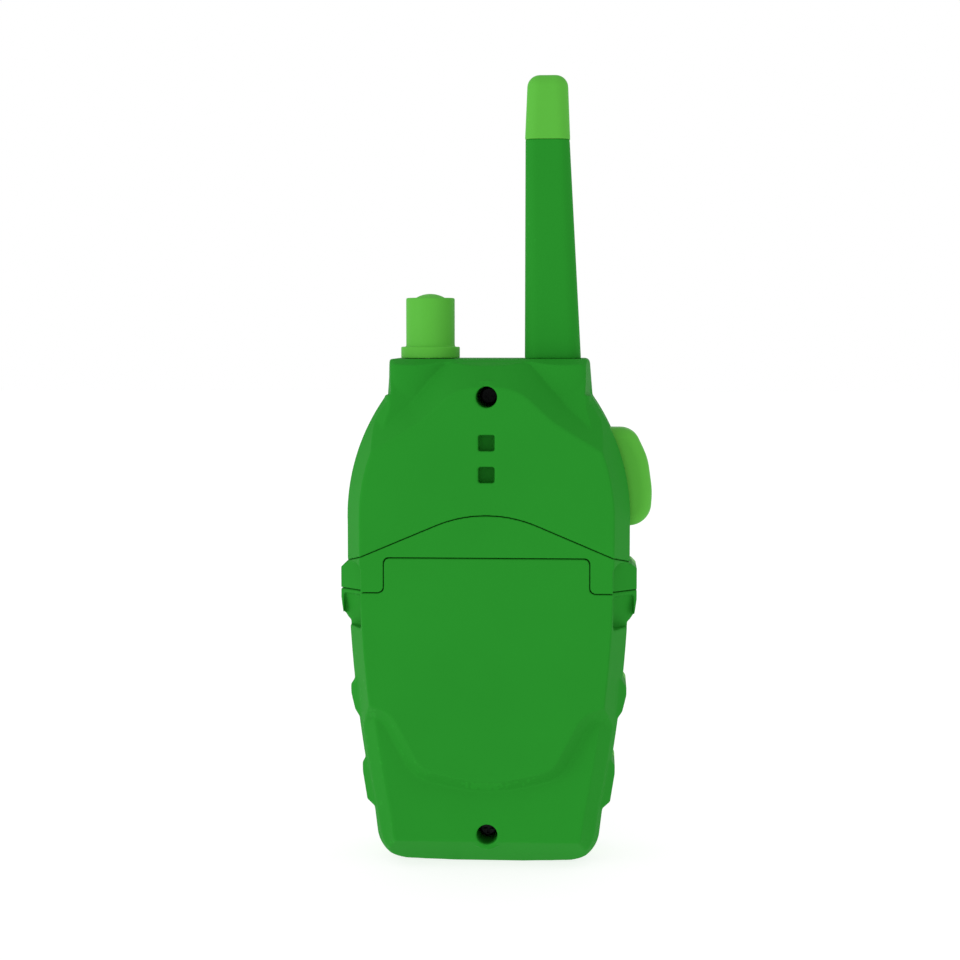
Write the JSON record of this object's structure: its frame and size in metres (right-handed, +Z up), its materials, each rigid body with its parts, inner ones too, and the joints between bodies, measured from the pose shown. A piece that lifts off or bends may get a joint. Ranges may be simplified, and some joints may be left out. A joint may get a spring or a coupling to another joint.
{
  "type": "toy walkie talkie",
  "caption": "Child's handheld two-way radio with a stub antenna, rotary volume knob, side talk button, front keys and speaker, and a screwed battery door on its back.",
  "frame": {"origin": "middle of the flat strip that the radio stands on", "axes": "+Z up along the antenna, +X across the body towards the talk button, +Y from the back to the front face"},
  "size_m": [0.0609, 0.0291, 0.1545],
  "materials": {
    "shell_green": "fine matte moulded ABS, dark green",
    "trim_green": "satin moulded plastic, light green",
    "inner_plastic": "plain black moulded plastic",
    "black_plastic": "black thermoset",
    "key_plastic": "satin light-green caps",
    "board": "solder-masked laminate",
    "display": "grey-green reflective display",
    "window": "clear moulded lens",
    "cone": "black film cone",
    "cell_jacket": "plain printed jacket",
    "steel": "plated steel",
    "black_steel": "blackened steel screws"
  },
  "bodies": {
    "housing": {"rear_cover": "shell_green", "rear_band": "shell_green", "front_shell": "shell_green", "bumper_frame": "trim_green", "antenna": "shell_green", "antenna_tip": "trim_green", "antenna_wire": "steel", "volume_control": "steel", "talk_switch": "black_plastic", "main_board": "board", "radio_chips": "black_plastic", "key_switches": "black_plastic", "display_module": "display", "display_window": "window", "microphone": "steel", "speaker_frame": "steel", "speaker_cone": "cone", "speaker_magnet": "steel", "battery_box": "inner_plastic", "cell_1": "cell_jacket", "cell_2": "cell_jacket", "cell_3": "cell_jacket", "contact_plates": "steel", "contact_springs": "steel", "cover_screw": "black_steel", "case_screws": "black_steel"},
    "knob_assembly": {"knob": "trim_green", "knob_cap": "trim_green", "knob_shaft": "steel"},
    "talk_button": {"talk_button": "trim_green"},
    "door": {"battery_door": "shell_green", "door_screw": "black_steel"},
    "key_call": {"key_call": "key_plastic"},
    "key_up": {"key_up": "key_plastic"},
    "key_light": {"key_light": "key_plastic"},
    "key_menu": {"key_menu": "key_plastic"},
    "key_down": {"key_down": "key_plastic"}
  },
  "joints": [
    {"name": "knob_turn", "type": "hinge", "parent": "housing", "child": "knob_assembly", "pos_m": [-0.0118, 0, 0.1057], "axis": [0, 0, -1], "range_deg": [0, 280]},
    {"name": "talk_press", "type": "slide", "parent": "housing", "child": "talk_button", "axis": [-1, 0, 0], "range_m": [0, 0.0012], "stiffness_N_per_m": 1500, "springref_m": -0.0008},
    {"name": "door_lift", "type": "slide", "parent": "housing", "child": "door", "axis": [0, -1, 0], "range_m": [0, 0.03]},
    {"name": "press_call", "type": "slide", "parent": "housing", "child": "key_call", "axis": [0, -1, 0], "range_m": [0, 0.0006], "stiffness_N_per_m": 1200, "springref_m": -0.0005},
    {"name": "press_up", "type": "slide", "parent": "housing", "child": "key_up", "axis": [0, -1, 0], "range_m": [0, 0.0006], "stiffness_N_per_m": 1200, "springref_m": -0.0005},
    {"name": "press_light", "type": "slide", "parent": "housing", "child": "key_light", "axis": [0, -1, 0], "range_m": [0, 0.0006], "stiffness_N_per_m": 1200, "springref_m": -0.0005},
    {"name": "press_menu", "type": "slide", "parent": "housing", "child": "key_menu", "axis": [0, -1, 0], "range_m": [0, 0.0006], "stiffness_N_per_m": 1200, "springref_m": -0.0005},
    {"name": "press_down", "type": "slide", "parent": "housing", "child": "key_down", "axis": [0, -1, 0], "range_m": [0, 0.0006], "stiffness_N_per_m": 1200, "springref_m": -0.0005}
  ]
}
